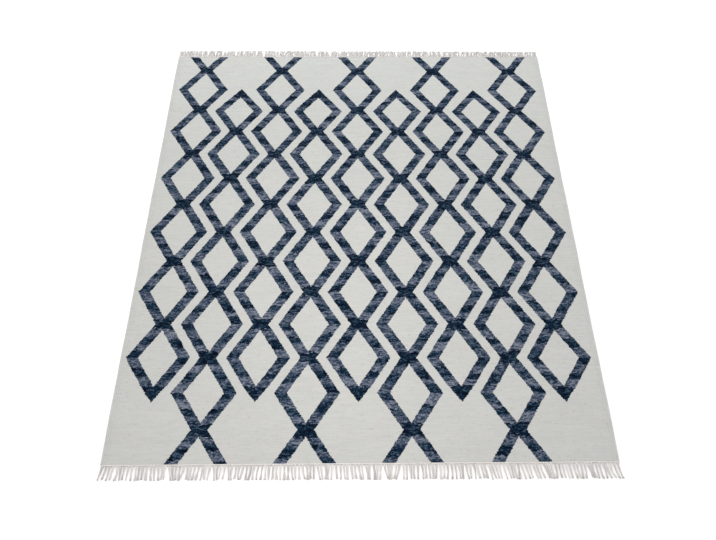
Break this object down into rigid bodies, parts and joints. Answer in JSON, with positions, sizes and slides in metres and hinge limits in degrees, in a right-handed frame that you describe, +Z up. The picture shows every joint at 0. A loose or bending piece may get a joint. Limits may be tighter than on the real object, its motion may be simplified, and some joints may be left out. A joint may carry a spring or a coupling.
{
  "type": "flatweave rug",
  "caption": "Large rectangular flat-woven rug lying flat, with corded side edges and a short warp fringe along both ends.",
  "frame": {"origin": "centre of the underside, on the floor", "axes": "+X across the rug's width, +Y along its length from the near fringed end to the far one, +Z up out of the floor"},
  "size_m": [1.6086, 2.4176, 0.0047],
  "materials": {
    "woven_cloth": "matt flat weave, ivory ground with space-dyed navy and slate stripes in linked diamonds",
    "fringe_yarn": "matt plied cotton warp yarn, undyed white"
  },
  "bodies": {
    "root": {"field": "woven_cloth", "fringe_near": "fringe_yarn", "fringe_far": "fringe_yarn"}
  },
  "joints": []
}
